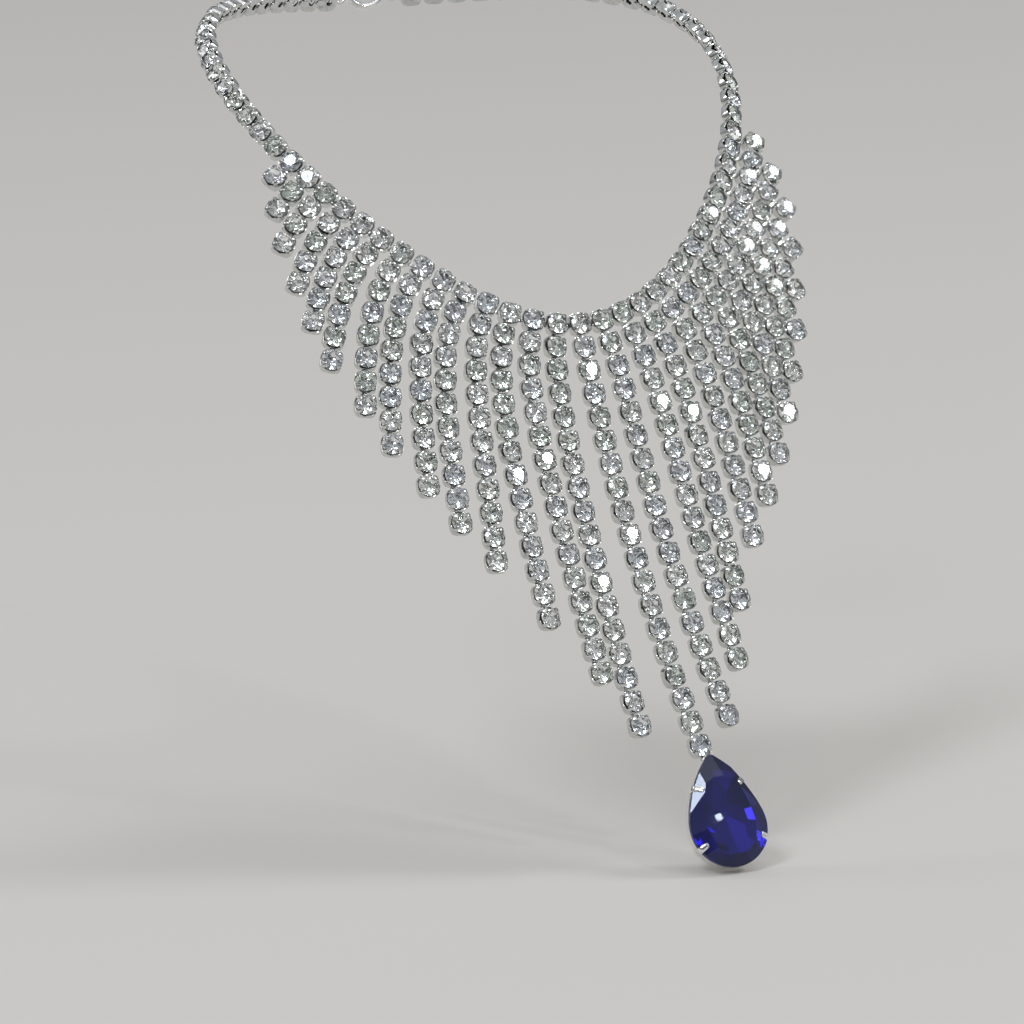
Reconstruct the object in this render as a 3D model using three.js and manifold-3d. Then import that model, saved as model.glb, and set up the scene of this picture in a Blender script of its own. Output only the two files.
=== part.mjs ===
// Rhinestone fringe necklace with a pear-shaped drop, in its worn form.
//
// Millimetres, +Z up. The front of the necklace faces -Y and +X is the viewer's right. The
// origin is the middle of the neck loop, where the wearer's neck passes through it. Cup chain
// is one tube along its true route, through the middle of its stones.

import * as THREE from 'three';
import { ConvexGeometry } from 'three/addons/geometries/ConvexGeometry.js';
import { mergeVertices } from 'three/addons/utils/BufferGeometryUtils.js';
import Module from 'manifold-3d';

const wasm = await Module();
wasm.setup();

// ---------------------------------------------------------------- driving dimensions

const STONE_PITCH = 5.4; // from one stone's middle to the next
const CHAIN_DIAMETER = 4.6; // of the tube that stands for the cup chain
const CHAIN_SIDES = 8;
const TUBE_STEP = 10.8; // longest straight step of a tube
const GAP = 0.3; // between neighbouring pieces

// Neck loop: a closed curve round the neck, dipping at the front.
const LOOP = {
  halfWidth: 58.4,
  shoulder: -2.1, // squares the sides of the plan
  halfDepth: 59,
  rise: 28.5, // the nape is twice this above the front
  saddle: 10.6, // lifts the sides above the front and the nape
};
const NECK_STONES_PER_SIDE = 35; // besides the one at the centre front
const CENTRE_STONES_PER_SIDE = 2; // of the centre stretch of the neck strand
const STONES_PER_STRETCH = 7;

// Fringe: strands hang from the centre stone and from the next ones on each side.
const FRINGE_PER_SIDE = 14;
const CENTRE_STRAND_STONES = 18;
const STRAND_END = 1.9; // from the middle of a strand's last stone to the end of its tube
const SLOPE = 29; // degrees forward from plumb, down the chest
const SPLAY = {
  limit: 73.5, // degrees outward at the root of a far strand
  halfway: 3.2, // the strand whose root has half that splay
  fade: 1.9, // stones in which the centre strands straighten
  slowdown: 7.8, // the strand that needs twice as many
};

// How each strand strays from its place in an even fringe, in degrees towards +X: lean tilts
// the whole strand, bow is subtracted at its root and added at its tip. A strand that isn't
// listed doesn't stray.
const STRAY = [
  { strand: -14, lean: 0.5, bow: 0 },
  { strand: -13, lean: -1.5, bow: 0 },
  { strand: -12, lean: -2, bow: 0.5 },
  { strand: -11, lean: -0.5, bow: 0.5 },
  { strand: -10, lean: -2, bow: 0 },
  { strand: -9, lean: -3.5, bow: 0.5 },
  { strand: -8, lean: -0.5, bow: -1 },
  { strand: -7, lean: -2, bow: -1.5 },
  { strand: -6, lean: -1, bow: -2.5 },
  { strand: -5, lean: -1.5, bow: -0.5 },
  { strand: -4, lean: -1.5, bow: -4.5 },
  { strand: -3, lean: 1, bow: 1.5 },
  { strand: -2, lean: 2.5, bow: 2 },
  { strand: -1, lean: 1.5, bow: 3 },
  { strand: 0, lean: 4, bow: 5.5 },
  { strand: 1, lean: 4, bow: 7.5 },
  { strand: 2, lean: 3, bow: 4 },
  { strand: 3, lean: 1, bow: 1 },
  { strand: 4, lean: 1.5, bow: 0.5 },
  { strand: 5, lean: 1.5, bow: -0.5 },
  { strand: 6, lean: 1, bow: 0 },
  { strand: 8, lean: -1.5, bow: 0 },
  { strand: 9, lean: -2.5, bow: 0 },
  { strand: 10, lean: -3.5, bow: -0.5 },
  { strand: 11, lean: -3, bow: -0.5 },
  { strand: 12, lean: -0.5, bow: 0 },
];

// Drop: a pear-cut stone in a cup with four prongs.
const DROP = {
  length: 25, // of the stone
  width: 18,
  slope: 27, // degrees forward from plumb
  lean: 4.5, // degrees towards +X
  tipRadius: 1.2,
  shoulderAngle: 15, // where the round end runs into the sides, above its widest point
  cupDepth: 2.8,
  cupFoot: 0.95, // how wide the back of the cup is against its rim
  wall: 0.5,
  seatRise: 0.4, // from the rim of the cup up to the stone's girdle
  girdle: 0.5,
  crown: 1.7,
  pavilion: 2.3,
};
const PRONG = {
  width: 1.5,
  thickness: 0.35,
  reach: 1.8, // inward over the crown
  rise: 1.6, // along that reach
  upperPlace: 0.28, // shares of the stone's length, from its tip
  lowerPlace: 0.81,
};

// The corners of the drop stone's table on its +X side, from its tip at the origin down.
const TABLE = [
  { x: 1.2, y: -5.3 },
  { x: 3.5, y: -6.3 },
  { x: 4.3, y: -8.2 },
  { x: 5.3, y: -12 },
  { x: 5.8, y: -16 },
  { x: 4.7, y: -20.4 },
  { x: 1.7, y: -22.4 },
];
const LINK = { width: 1.8, thickness: 1.1 }; // the tab between the drop and its strand

// Clasp: a flat lobster claw between an eye and a ring.
const CLASP = {
  clawLength: 10.4,
  clawWidth: 6,
  clawThickness: 2.4,
  mouthLength: 6,
  mouthWidth: 2.8,
  ringThickness: 1.2,
  ringWidth: 1,
};

// ---------------------------------------------------------------- materials

const cupChain = { color: 0xc8ccca, metalness: 0.7, roughness: 0.2 };
const silverPlate = { color: 0xd8d8d6, metalness: 1, roughness: 0.18 };
const blueGlass = { color: 0x14126e, metalness: 0, roughness: 0.04 };

function addPiece(parent, name, geometry, look) {
  const mesh = new THREE.Mesh(geometry, new THREE.MeshStandardMaterial(look));
  mesh.name = name;
  parent.add(mesh);
  return mesh;
}

// ---------------------------------------------------------------- booleans

function toSolid(geometry) {
  const bare = geometry.clone();
  bare.deleteAttribute('normal');
  bare.deleteAttribute('uv');
  const merged = mergeVertices(bare, 1e-4);
  return new wasm.Manifold(
    new wasm.Mesh({
      numProp: 3,
      vertProperties: new Float32Array(merged.attributes.position.array),
      triVerts: new Uint32Array(merged.index.array),
    }),
  );
}

function toGeometry(solid) {
  const mesh = solid.getMesh();
  const geometry = new THREE.BufferGeometry();
  geometry.setAttribute('position', new THREE.BufferAttribute(mesh.vertProperties, 3));
  geometry.setIndex(new THREE.BufferAttribute(mesh.triVerts, 1));
  geometry.computeVertexNormals();
  return geometry;
}

function joined(geometries) {
  return toGeometry(geometries.map(toSolid).reduce((whole, piece) => whole.add(piece)));
}

// ---------------------------------------------------------------- cup chain

function tubeAlong(route) {
  const section = new THREE.Shape();
  for (let side = 0; side < CHAIN_SIDES; side += 1) {
    const angle = (2 * Math.PI * side) / CHAIN_SIDES;
    const x = (CHAIN_DIAMETER / 2) * Math.cos(angle);
    const y = (CHAIN_DIAMETER / 2) * Math.sin(angle);
    if (side === 0) section.moveTo(x, y);
    else section.lineTo(x, y);
  }
  section.closePath();
  const steps = Math.max(1, Math.ceil(route.getLength() / TUBE_STEP));
  return new THREE.ExtrudeGeometry(section, { steps, extrudePath: route });
}

// ---------------------------------------------------------------- neck strand

// Runs from the nape round the -X side to the front, and back round the +X side.
class NeckLoop extends THREE.Curve {
  getPoint(t, target = new THREE.Vector3()) {
    const angle = 2 * Math.PI * (t - 0.5);
    return target.set(
      LOOP.halfWidth * Math.sin(angle) + LOOP.shoulder * Math.sin(3 * angle),
      -LOOP.halfDepth * Math.cos(angle),
      -LOOP.rise * Math.cos(angle) - LOOP.saddle * Math.cos(2 * angle),
    );
  }
}

const neckLoop = new NeckLoop();
neckLoop.arcLengthDivisions = 1440;

// The place of a neck stone along the loop, counted from the centre front, positive towards +X.
function neckPlace(index) {
  return 0.5 + (index * STONE_PITCH) / neckLoop.getLength();
}

function neckStone(index) {
  return neckLoop.getPointAt(neckPlace(index));
}

class NeckStretch extends THREE.Curve {
  constructor(first, last) {
    super();
    this.first = first;
    this.last = last;
  }

  getPoint(t, target = new THREE.Vector3()) {
    return target.copy(neckStone(THREE.MathUtils.lerp(this.first, this.last, t)));
  }
}

const CHAIN_END = CHAIN_DIAMETER / 2 / STONE_PITCH; // past the last stone's middle, in stones
const HALF_GAP = GAP / 2 / STONE_PITCH;

function addNeckStrand(parent) {
  const firstBreak = CENTRE_STONES_PER_SIDE + 0.5;
  const centre = new NeckStretch(HALF_GAP - firstBreak, firstBreak - HALF_GAP);
  addPiece(parent, 'neck_centre', tubeAlong(centre), cupChain);
  for (const [side, sign] of [['left', -1], ['right', 1]]) {
    let number = 1;
    for (let start = firstBreak; start < NECK_STONES_PER_SIDE; start += STONES_PER_STRETCH) {
      const isLast = start + STONES_PER_STRETCH >= NECK_STONES_PER_SIDE;
      const near = start + HALF_GAP;
      const far = isLast ? NECK_STONES_PER_SIDE + CHAIN_END : start + STONES_PER_STRETCH - HALF_GAP;
      const stretch = new NeckStretch(sign * near, sign * far);
      addPiece(parent, `neck_${side}_${number}`, tubeAlong(stretch), cupChain);
      number += 1;
    }
  }
}

// ---------------------------------------------------------------- fringe

// Evenly shorter outward, and twice as fast next to the centre.
function strandStones(strand) {
  const place = Math.abs(strand);
  if (place === 0) return CENTRE_STRAND_STONES;
  return Math.max(CENTRE_STRAND_STONES + 1 - 2 * place, FRINGE_PER_SIDE + 1 - place);
}

// The direction down the chest that leans towards +X by so many degrees.
function downChest(lean) {
  const sideways = THREE.MathUtils.degToRad(lean);
  const forward = THREE.MathUtils.degToRad(SLOPE);
  return new THREE.Vector3(
    Math.sin(sideways),
    -Math.cos(sideways) * Math.sin(forward),
    -Math.cos(sideways) * Math.cos(forward),
  );
}

// The way from one stone of a strand to the next; step 0 leads from the neck to the first.
function strandStep(strand, step) {
  const place = Math.abs(strand);
  const along = step + 0.5;
  const rootSplay = (SPLAY.limit * place) / (place + SPLAY.halfway);
  const fade = SPLAY.fade * (1 + (place / SPLAY.slowdown) ** 2);
  const splay = Math.sign(strand) * rootSplay * Math.exp(-along / fade);
  const stray = STRAY.find((row) => row.strand === strand) ?? { lean: 0, bow: 0 };
  const bow = stray.bow * ((2 * along) / strandStones(strand) - 1);
  return downChest(splay + stray.lean + bow);
}

// The middles of a strand's stones, after that of the neck stone it hangs from.
function strandRoute(strand) {
  const route = [neckStone(strand)];
  for (let step = 0; step < strandStones(strand); step += 1) {
    route.push(route.at(-1).clone().addScaledVector(strandStep(strand, step), STONE_PITCH));
  }
  return route;
}

// From the middle of its neck stone to the flat end of a strand's tube, which clears the neck
// strand also where the two don't meet squarely.
function strandStart(strand) {
  const neckWay = neckLoop.getTangentAt(neckPlace(strand));
  const slant = Math.abs(neckWay.dot(strandStep(strand, 0)));
  return (CHAIN_DIAMETER / 2) * (1 + slant) + GAP;
}

function addFringe(parent) {
  for (let strand = -FRINGE_PER_SIDE; strand <= FRINGE_PER_SIDE; strand += 1) {
    const middles = strandRoute(strand);
    const start = middles[0].clone().addScaledVector(strandStep(strand, 0), strandStart(strand));
    const lastStep = strandStep(strand, strandStones(strand) - 1);
    const end = middles.at(-1).clone().addScaledVector(lastStep, STRAND_END);
    const route = new THREE.CatmullRomCurve3([start, ...middles.slice(1), end]);
    const number = String(Math.abs(strand)).padStart(2, '0');
    const side = strand < 0 ? 'left' : 'right';
    const name = strand === 0 ? 'fringe_centre' : `fringe_${side}_${number}`;
    addPiece(parent, name, tubeAlong(route), cupChain);
  }
}

// ---------------------------------------------------------------- pear outline

// The outline of a pear with its tip at the origin and its length along -Y: a round end and a
// small rounded tip, joined by wide side arcs that touch both.
class PearOutline {
  constructor() {
    this.round = DROP.width / 2;
    this.roundY = this.round - DROP.length;
    this.angle = THREE.MathUtils.degToRad(DROP.shoulderAngle);
    const reach = -DROP.tipRadius - this.roundY;
    const excess = this.round - DROP.tipRadius;
    const rise = Math.sin(this.angle);
    // How much larger a side arc's radius is than the round end's.
    const widening = (reach ** 2 - excess ** 2) / (2 * (excess - reach * rise));
    this.side = this.round + widening;
    this.sideX = -widening * Math.cos(this.angle);
    this.sideY = this.roundY - widening * rise;
    this.shoulderY = this.roundY + this.round * rise;
    this.tipAngle = Math.atan2(-DROP.tipRadius - this.sideY, -this.sideX);
  }

  // The point of the +X half at a given height, and the outward way there.
  at(y) {
    const onSide = y > this.shoulderY;
    const centre = new THREE.Vector2(onSide ? this.sideX : 0, onSide ? this.sideY : this.roundY);
    const radius = onSide ? this.side : this.round;
    const x = centre.x + Math.sqrt(Math.max(0, radius ** 2 - (y - centre.y) ** 2));
    const point = new THREE.Vector2(x, y);
    return { point, outward: point.clone().sub(centre).normalize() };
  }

  // Points all round, starting and ending at the tip: sideSteps on each side, roundSteps below.
  points(sideSteps, roundSteps) {
    const half = [];
    for (let step = 0; step < sideSteps; step += 1) {
      const angle = THREE.MathUtils.lerp(this.tipAngle, this.angle, step / sideSteps);
      const x = this.sideX + this.side * Math.cos(angle);
      half.push([x, this.sideY + this.side * Math.sin(angle)]);
    }
    for (let step = 0; step < roundSteps; step += 1) {
      const angle = THREE.MathUtils.lerp(this.angle, -Math.PI / 2, step / roundSteps);
      half.push([this.round * Math.cos(angle), this.roundY + this.round * Math.sin(angle)]);
    }
    const otherHalf = half.map(([x, y]) => [-x, y]).reverse();
    const ring = [[0, 0], ...half, [0, -DROP.length], ...otherHalf];
    return ring.map(([x, y]) => new THREE.Vector2(x, y));
  }
}

const outline = new PearOutline();

// ---------------------------------------------------------------- drop

// The drop is built with its back on z = 0, its tip towards +Y and its front towards +Z.

const GIRDLE_Z = DROP.cupDepth + DROP.seatRise;
const OUTLINE_STEPS = [8, 8];

// A LatheGeometry whose round plan is reshaped to the pear: a profile radius of 1 is the
// outline itself, and 0 is the point its rings shrink to.
function pearLathe(profile) {
  const ring = outline.points(...OUTLINE_STEPS);
  const centre = new THREE.Vector2(0, outline.roundY);
  const rows = profile.map(([radius, z]) => new THREE.Vector2(radius, z));
  const lathe = new THREE.LatheGeometry(rows, ring.length);
  const position = lathe.attributes.position;
  for (let column = 0; column <= ring.length; column += 1) {
    const spoke = ring[column % ring.length].clone().sub(centre);
    rows.forEach((row, index) => {
      const plan = centre.clone().addScaledVector(spoke, row.x);
      position.setXYZ(column * rows.length + index, plan.x, plan.y, row.y);
    });
  }
  return lathe;
}

function cupGeometry() {
  const rim = 1 - DROP.wall / DROP.width;
  const inner = 1 - (2 * DROP.wall) / DROP.width;
  return pearLathe([
    [0, DROP.wall],
    [DROP.cupFoot * inner, DROP.wall],
    [inner, DROP.cupDepth - DROP.wall],
    [rim, DROP.cupDepth],
    [1, DROP.cupDepth],
    [DROP.cupFoot, 0],
    [0, 0],
  ]);
}

// A strip up the outside of the cup, bent inward over the stone's crown.
function prongGeometry(place, sign) {
  const { point, outward } = outline.at(-place * DROP.length);
  const outer = GAP + PRONG.thickness;
  const bendZ = GIRDLE_Z + DROP.girdle + 1.3 * GAP;
  const tipZ = bendZ + PRONG.rise;
  const profile = new THREE.Shape();
  profile.moveTo(-DROP.wall / 2, DROP.wall);
  profile.lineTo(outer, DROP.wall);
  profile.lineTo(outer, bendZ);
  profile.quadraticCurveTo(outer, bendZ + PRONG.thickness, -PRONG.reach, tipZ + PRONG.thickness);
  profile.lineTo(-PRONG.reach, tipZ);
  profile.lineTo(GAP, bendZ);
  profile.lineTo(GAP, DROP.cupDepth - DROP.wall);
  profile.lineTo(-DROP.wall / 2, DROP.cupDepth - DROP.wall);
  profile.closePath();
  const strip = new THREE.ExtrudeGeometry(profile, {
    depth: PRONG.width,
    bevelEnabled: false,
    curveSegments: 3,
  });
  strip.translate(0, 0, -PRONG.width / 2);
  strip.rotateX(Math.PI / 2);
  strip.rotateZ(Math.atan2(outward.y, sign * outward.x));
  strip.translate(sign * point.x, point.y, 0);
  return strip;
}

const LINK_TOP = 0.5; // from the stone's tip up to the end of the link
const LINK_GAP = 1.2 * GAP; // the link meets the end of its strand at a slant

function linkGeometry() {
  const length = LINK_TOP + DROP.wall;
  const link = new THREE.BoxGeometry(LINK.width, length, LINK.thickness);
  return link.translate(0, LINK_TOP - length / 2, DROP.cupDepth / 2);
}

function addDrop(parent) {
  const strips = [-1, 1].flatMap((sign) => [
    prongGeometry(PRONG.upperPlace, sign),
    prongGeometry(PRONG.lowerPlace, sign),
  ]);
  const setting = joined([cupGeometry(), ...strips, linkGeometry()]);
  addPiece(parent, 'drop_setting', setting, silverPlate);
  addPiece(parent, 'drop_stone', dropStoneGeometry(), blueGlass);
}

// A cut pear: a table, facets from its corners to the girdle, and a pointed back.
function dropStoneGeometry() {
  const centre = new THREE.Vector2(0, outline.roundY + DROP.length * 0.02);
  const girdle = outline.points(6, 6);
  const ringAt = (scale, z) =>
    girdle.map((point) => {
      const plan = point.clone().sub(centre).multiplyScalar(scale).add(centre);
      return new THREE.Vector3(plan.x, plan.y, z);
    });
  const topZ = GIRDLE_Z + DROP.girdle;
  const table = TABLE.flatMap(({ x, y }) =>
    [x, -x].map((cornerX) => new THREE.Vector3(cornerX, y, topZ + DROP.crown)),
  );
  return new ConvexGeometry([
    ...ringAt(1, GIRDLE_Z),
    ...ringAt(1, topZ),
    ...table,
    ...ringAt(0.5, GIRDLE_Z - DROP.pavilion * 0.62),
    new THREE.Vector3(centre.x, centre.y, GIRDLE_Z - DROP.pavilion),
  ]);
}

// Hangs the drop from the last stone of the centre strand, lying down the chest.
function placedDrop() {
  const drop = new THREE.Group();
  addDrop(drop);
  const lastStep = strandStep(0, CENTRE_STRAND_STONES - 1);
  drop.position.copy(strandRoute(0).at(-1)).addScaledVector(lastStep, STRAND_END);
  drop.rotation.x = THREE.MathUtils.degToRad(90 - DROP.slope);
  drop.rotation.z = THREE.MathUtils.degToRad(DROP.lean);
  drop.translateY(-LINK_GAP - LINK_TOP);
  drop.translateZ(-DROP.cupDepth / 2);
  return drop;
}

// ---------------------------------------------------------------- clasp

function flatRing(outerX, outerY, holeX, holeY, thickness, x) {
  const shape = new THREE.Shape().absellipse(0, 0, outerX, outerY, 0, 2 * Math.PI);
  shape.holes.push(new THREE.Path().absellipse(0, 0, holeX, holeY, 0, 2 * Math.PI));
  const ring = new THREE.ExtrudeGeometry(shape, {
    depth: thickness,
    bevelEnabled: false,
    curveSegments: 8,
  });
  return ring.translate(x, 0, -thickness / 2);
}

// Lies across the nape, filling the loop between the two ends of the neck strand.
function addClasp(parent) {
  const freeLoop = neckLoop.getLength() - 2 * (NECK_STONES_PER_SIDE + CHAIN_END) * STONE_PITCH;
  const halfLength = freeLoop / 2 - GAP;
  const overlap = CLASP.ringWidth / 2;
  const eye = (2 * halfLength - CLASP.clawLength + 2 * overlap) / 4;
  const hole = eye - CLASP.ringWidth;
  const geometry = joined([
    flatRing(
      CLASP.clawLength / 2,
      CLASP.clawWidth / 2,
      CLASP.mouthLength / 2,
      CLASP.mouthWidth / 2,
      CLASP.clawThickness,
      0,
    ),
    flatRing(eye, eye, hole, hole, CLASP.ringThickness, eye - halfLength),
    flatRing(eye, eye, hole, hole, CLASP.ringThickness, halfLength - eye),
  ]);
  const clasp = addPiece(parent, 'clasp', geometry, silverPlate);
  clasp.rotation.x = Math.PI / 2;
  clasp.position.copy(neckLoop.getPointAt(0));
}

// ---------------------------------------------------------------- necklace

const necklace = new THREE.Group();
addNeckStrand(necklace);
addFringe(necklace);
necklace.add(placedDrop());
addClasp(necklace);

export default necklace;
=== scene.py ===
"""Looks of the rhinestone fringe necklace with a pear-shaped drop.

Sizes are in millimetres and angles in degrees; a mesh is scaled to metres as it is made.
The front of the necklace faces -Y, +X is the viewer's right and +Z is up.
"""

from bisect import bisect_left
from math import atan2, cos, degrees, exp, pi, radians, sin, sqrt
from random import Random

import bmesh
import bpy
from mathutils import Matrix, Vector


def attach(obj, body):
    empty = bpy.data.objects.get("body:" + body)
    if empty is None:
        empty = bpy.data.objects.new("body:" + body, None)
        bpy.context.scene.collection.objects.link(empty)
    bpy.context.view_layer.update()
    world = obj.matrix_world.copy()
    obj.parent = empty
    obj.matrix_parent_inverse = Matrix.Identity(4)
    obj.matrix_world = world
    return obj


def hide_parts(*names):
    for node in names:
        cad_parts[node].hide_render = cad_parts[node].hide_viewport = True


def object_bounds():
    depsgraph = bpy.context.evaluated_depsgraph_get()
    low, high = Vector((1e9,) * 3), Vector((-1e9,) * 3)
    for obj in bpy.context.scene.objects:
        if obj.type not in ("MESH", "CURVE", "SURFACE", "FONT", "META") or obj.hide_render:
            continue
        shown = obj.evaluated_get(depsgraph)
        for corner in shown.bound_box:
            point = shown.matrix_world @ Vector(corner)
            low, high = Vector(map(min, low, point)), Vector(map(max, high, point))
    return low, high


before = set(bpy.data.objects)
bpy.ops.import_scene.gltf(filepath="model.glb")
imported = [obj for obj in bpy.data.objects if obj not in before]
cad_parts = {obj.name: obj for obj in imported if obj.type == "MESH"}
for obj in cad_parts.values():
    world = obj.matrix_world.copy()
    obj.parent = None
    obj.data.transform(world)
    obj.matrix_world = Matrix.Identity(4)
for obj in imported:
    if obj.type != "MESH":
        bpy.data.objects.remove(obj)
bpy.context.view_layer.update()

MM = 0.001  # metres

# ------------------------------------------------------------------ sizes of the chain

STONE_PITCH = 5.4  # from one stone's middle to the next
CHAIN_RADIUS = 2.3  # of the solid tube that the chain stands for

# Neck loop: a closed curve round the neck, dipping at the front.
LOOP_HALF_WIDTH = 58.4
LOOP_SHOULDER = -2.1  # below 0 it narrows the front and the nape against the sides
LOOP_HALF_DEPTH = 59.0
LOOP_RISE = 28.5  # half of how far the nape stands above the front
LOOP_SADDLE = 10.6  # half of how far the sides stand above the middle of those two
LOOP_SAMPLES = 2880  # steps in which half of the loop is measured
LOOP_NUDGE = 0.001  # radians each way, to find the loop's direction at a point

NECK_STONES_PER_SIDE = 35
CENTRE_STONES_PER_SIDE = 2
STONES_PER_STRETCH = 7

FRINGE_PER_SIDE = 14
CENTRE_STRAND_STONES = 18
STRAND_END = 1.9  # from the middle of a strand's last stone to the end of its tube
SLOPE = 29.0  # forward from plumb, down the chest
SPLAY_LIMIT = 73.5  # that a strand far to the side would start off with
SPLAY_HALFWAY = 3.2  # number of the strand that starts off with half of it
SPLAY_FADE = 1.9  # stones over which the splay fades near the centre
SPLAY_SLOWDOWN = 7.8  # number of the strand where that takes twice as many

# How each strand strays from an even fringe: strand number to (lean, bow).
STRAY = {
    -14: (0.5, 0),
    -13: (-1.5, 0),
    -12: (-2, 0.5),
    -11: (-0.5, 0.5),
    -10: (-2, 0),
    -9: (-3.5, 0.5),
    -8: (-0.5, -1),
    -7: (-2, -1.5),
    -6: (-1, -2.5),
    -5: (-1.5, -0.5),
    -4: (-1.5, -4.5),
    -3: (1, 1.5),
    -2: (2.5, 2),
    -1: (1.5, 3),
    0: (4, 5.5),
    1: (4, 7.5),
    2: (3, 4),
    3: (1, 1),
    4: (1.5, 0.5),
    5: (1.5, -0.5),
    6: (1, 0),
    8: (-1.5, 0),
    9: (-2.5, 0),
    10: (-3.5, -0.5),
    11: (-3, -0.5),
    12: (-0.5, 0),
}

# Which way the stones face: heading is 0 to the front and grows outward, rise is above level.
FRINGE_RISE = 29.0
FRINGE_HEADING = 0.154  # times the square of the strand's number
NECK_SIDE_RISE = 38.0
NECK_NAPE_RISE = 20.0
NECK_HEADING_POWER = 1.3  # above 0, the stones in front turn outward less than the loop does

# A round stone and its cup, with the chain's middle line on z = 0 and the stone facing +Z.
STONE_DIAMETER = 4.7
STONE_GIRDLE = (0.14, 0.26)  # lower and upper edge
STONE_TABLE_Z = 1.04
STONE_TABLE_RADIUS = 1.36
STONE_CULET_Z = -1.86
GIRDLE_CORNERS = 32
STAR_EASE = 11  # degrees that the stars lie flatter than the kites
STAR_INSET = 0.985  # where the stars pass the table's height, as a share of its flats
HALF_STEEPENING = 7  # degrees that the front halves stand steeper than the kites
BACK_HALF_STEEPENING = 4  # and the back halves

CUP_WIDTH = 4.9
CUP_SQUARENESS = 3.4  # exponent of the superellipse of its plan
CUP_COLUMNS = 32
CUP_WALL = 0.22
CUP_BASE_Z = -2.15
CUP_BASE_HOLE = 0.8
CUP_WALL_LOW_Z = -0.75
CUP_WALL_HIGH_Z = -0.05
CUP_SCALLOP_POWER = 1.5  # above 1, the low stretches of the rim are wider than the high ones
CUP_RIM_EDGE = 0.3  # where the rim's top has its middle edge, as a share of the wall
CUP_INSIDE_CORNER = (0.3, 0.4)  # in from the wall, up from the base
CUP_FOOT = ((0.0, 0.45), (0.12, 0.12), (0.35, 0.0))  # in from the outside, up from the underside
CUP_SHARP_ANGLE = 38

# A claw from its foot to its tip: out from the stone's middle, height, share of its width.
CLAW_ROWS = (
    (2.5, -0.9, 1.15),
    (2.52, -0.1, 1.05),
    (2.44, 0.26, 1.0),
    (2.22, 0.46, 0.95),
    (1.9, 0.7, 0.85),
    (1.62, 0.92, 0.5),
)
CLAW_WIDTH = 0.95
CLAW_THICKNESS = 0.24

# Across a claw or prong: share of half its width, share of its thickness.
STRIP_SECTION = ((-1, 0), (-0.9, 0.62), (-0.45, 1), (0.45, 1), (0.9, 0.62), (1, 0))
STRIP_TIP_THICKNESS = 0.6  # share of the thickness left at the tip

LINK_LENGTH = 2.7
LINK_WIDTH = 1.3
LINK_THICKNESS = 0.32
LINK_BEVEL = 0.08
LINK_BITE = 0.04  # into the bases of the cups
BAR_END_STEPS = 7  # points round each end of a link

# How far each stone sits from true, in degrees.
STONE_TILT = 2.2
CUP_TWIST = 2.5
CUP_ROLL = 3.5

# ------------------------------------------------------------------ sizes of the drop

DROP_LENGTH = 25.0
DROP_WIDTH = 18.0
DROP_SLOPE = 27.0  # forward from plumb
DROP_LEAN = 4.5  # of its foot towards +X
DROP_TIP_RADIUS = 1.2
DROP_SHOULDER_ANGLE = 15.0  # above level, where the sides meet the round end
DROP_CUP_DEPTH = 2.8
DROP_CUP_FOOT = 0.95  # how wide the back of the cup is against its rim
DROP_WALL = 0.5
DROP_SEAT_RISE = 0.4  # from the rim of the cup to the stone's girdle
DROP_GIRDLE = 0.5
DROP_CROWN = 1.7
DROP_PAVILION = 2.218  # from the girdle to where the facets of the back would meet
DROP_LINK_TOP = 0.5  # how far the link stands out past the tip
DROP_LINK_GAP = 0.36  # from there to the end of the centre strand
DROP_LINK_INSIDE = 0.9  # how far the link reaches in past the wall of the cup
DROP_LINK_WIDTH = 1.8
DROP_LINK_THICKNESS = 1.1
DROP_LINK_BEVEL = 0.25
DROP_LINK_MIDDLE = 0.75  # how high the link's middle is above the back of the cup

# Points round the tip, down a side and round the foot.
PEAR_STONE_STEPS = (6, 24, 24)
PEAR_CUP_STEPS = (6, 20, 20)

# The rim of the cup from inside to outside: share of the way through the wall, depth below the top.
DROP_RIM = ((0.4, 0.04), (0.65, 0.0), (0.9, 0.04))
DROP_RIM_EDGE = 0.16  # how far the rim's rounding reaches down the outside
DROP_SIDE_FOOT = (0.12, 0.4)  # share of the way from the foot's width to the rim's, height

# The back of the cup from its side to its sunk panel: share of the foot's width, height.
DROP_FOOT = ((0.995, 0.18), (0.98, 0.05), (0.95, 0.0), (0.8, 0.0), (0.78, 0.12))
DROP_PANEL_DEPTH = 0.12

PRONG_PLACES = (0.265, 0.8)  # down the pear, as shares of its length
PRONG_WIDTH = 1.5
PRONG_THICKNESS = 0.26
PRONG_REACH = 1.8
PRONG_LIFT = 0.02  # above the front of the stone

# A prong: out from the pear's edge, height, share of its width. The heights of the bend count from
# the front of the stone there. Then the part on the stone: share of its reach, share of its width.
PRONG_SIDE = (
    (-0.35, 0.4, 0.8),
    (-0.1, DROP_CUP_DEPTH * 0.5, 1.0),
    (0.04, DROP_CUP_DEPTH, 1.0),
)
PRONG_BEND = ((0.05, -0.12, 1.0), (-0.04, 0.04, 1.0))
PRONG_TONGUE = ((0.2, 0.98), (0.45, 0.94), (0.7, 0.88), (0.9, 0.75), (1, 0.5))

# Corners of the pear's table on its +X side, from the tip down.
TABLE_CORNERS = (
    (1.2, -5.3),
    (3.5, -6.3),
    (4.3, -8.2),
    (5.3, -12.0),
    (5.8, -16.0),
    (4.7, -20.4),
    (1.7, -22.4),
)
TABLE_INSIDE = (0, -15.5)  # any point within the table, to tell which side of an edge is outward

# Where the facets of the pear's back would meet, and how much of that point is cut off flat.
CULET_Y = -13.14
CULET_FLAT = 0.123

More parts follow.
